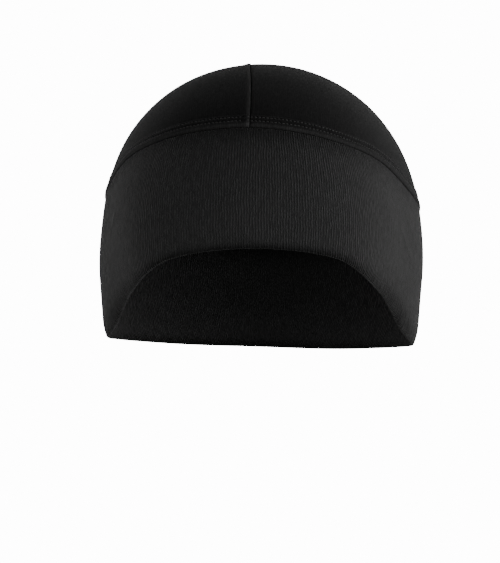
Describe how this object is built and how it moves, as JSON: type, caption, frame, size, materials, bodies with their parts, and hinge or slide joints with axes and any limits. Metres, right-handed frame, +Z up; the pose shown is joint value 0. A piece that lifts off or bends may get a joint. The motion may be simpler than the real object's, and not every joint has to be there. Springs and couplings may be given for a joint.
{
  "type": "helmet liner cap",
  "caption": "Close-fitting stretch-knit cap with a seamed two-panel dome and a wide folded band that covers forehead, ears and nape.",
  "frame": {"origin": "inside of the crown at its top, where the cap bears on the head that wears it", "axes": "+Z up, -Y to the front (forehead), +X to the wearer's left"},
  "size_m": [0.1753, 0.2041, 0.1547],
  "materials": {
    "crown_knit": "smooth matt black stretch jersey",
    "band_knit": "matt black stretch jersey with fine upright ribs",
    "stitch_thread": "black polyester thread"
  },
  "bodies": {
    "root": {"crown_left": "crown_knit", "crown_right": "crown_knit", "band": "band_knit"}
  },
  "joints": []
}
